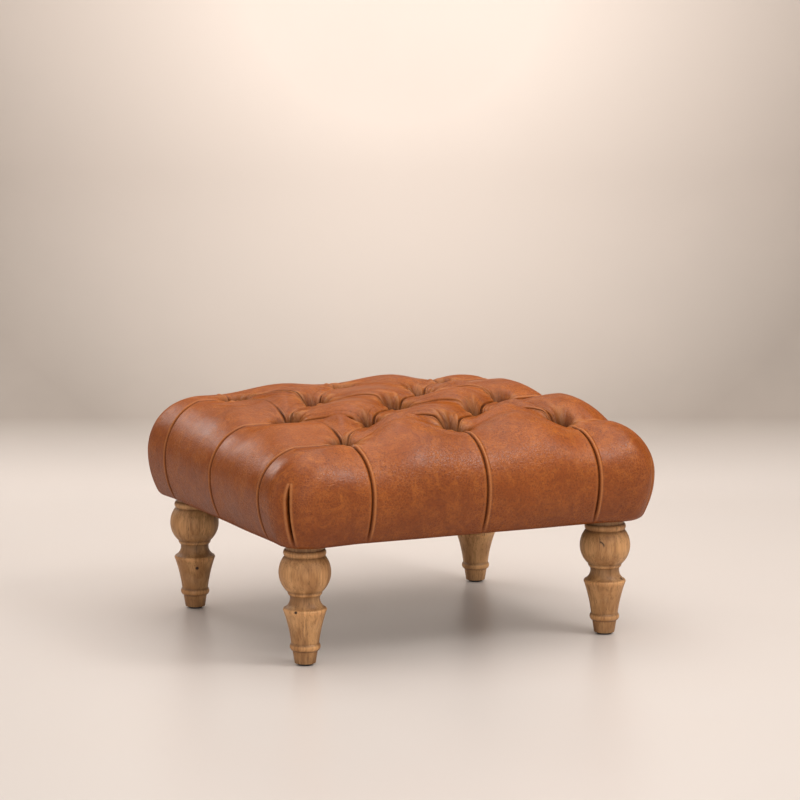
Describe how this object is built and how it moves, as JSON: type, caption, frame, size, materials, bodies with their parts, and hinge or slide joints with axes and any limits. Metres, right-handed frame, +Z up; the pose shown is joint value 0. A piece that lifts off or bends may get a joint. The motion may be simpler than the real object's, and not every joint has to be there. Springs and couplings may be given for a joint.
{
  "type": "leather stool",
  "caption": "Low rectangular footstool with a deep-buttoned leather seat in a diamond pattern, pleated sides and four turned wooden legs.",
  "frame": {"origin": "on the floor, under the middle of the stool", "axes": "+Z up, +X along the longer side of the seat, -Y towards the front"},
  "size_m": [0.6, 0.5596, 0.342],
  "materials": {
    "leather": "mottled aniline, semi-gloss",
    "button_leather": "same hide as the cover",
    "wadding": "matte fibre",
    "foam": "open-cell foam, matte",
    "plywood": "bare",
    "frame_wood": "bare, planed",
    "dowel_wood": "bare",
    "oak": "weathered oak, satin",
    "steel": "zinc-plated",
    "twine": "waxed thread",
    "nylon": "matte",
    "cambric": "non-woven, matte"
  },
  "bodies": {
    "root": {"leather_cover": "leather", "wadding": "wadding", "foam_pad": "foam", "plywood_deck": "plywood", "front_rail": "frame_wood", "back_rail": "frame_wood", "left_rail": "frame_wood", "right_rail": "frame_wood", "corner_block_front_left": "frame_wood", "corner_block_front_right": "frame_wood", "corner_block_back_left": "frame_wood", "corner_block_back_right": "frame_wood", "rail_dowels": "dowel_wood", "corner_block_screws": "steel", "deck_screws": "steel", "button_row1_1": "button_leather", "button_row1_2": "button_leather", "button_row1_3": "button_leather", "button_row2_1": "button_leather", "button_row2_2": "button_leather", "button_row3_1": "button_leather", "button_row3_2": "button_leather", "button_row3_3": "button_leather", "button_row4_1": "button_leather", "button_row4_2": "button_leather", "button_row5_1": "button_leather", "button_row5_2": "button_leather", "button_row5_3": "button_leather", "button_twines": "twine", "twine_washers": "steel", "leg_front_left": "oak", "leg_front_right": "oak", "leg_back_left": "oak", "leg_back_right": "oak", "glide_front_left": "nylon", "glide_front_right": "nylon", "glide_back_left": "nylon", "glide_back_right": "nylon", "glide_nails": "steel", "hanger_bolts": "steel", "tee_nuts": "steel", "dust_cover": "cambric", "dust_cover_staples": "steel", "hem_staples": "steel"}
  },
  "joints": []
}
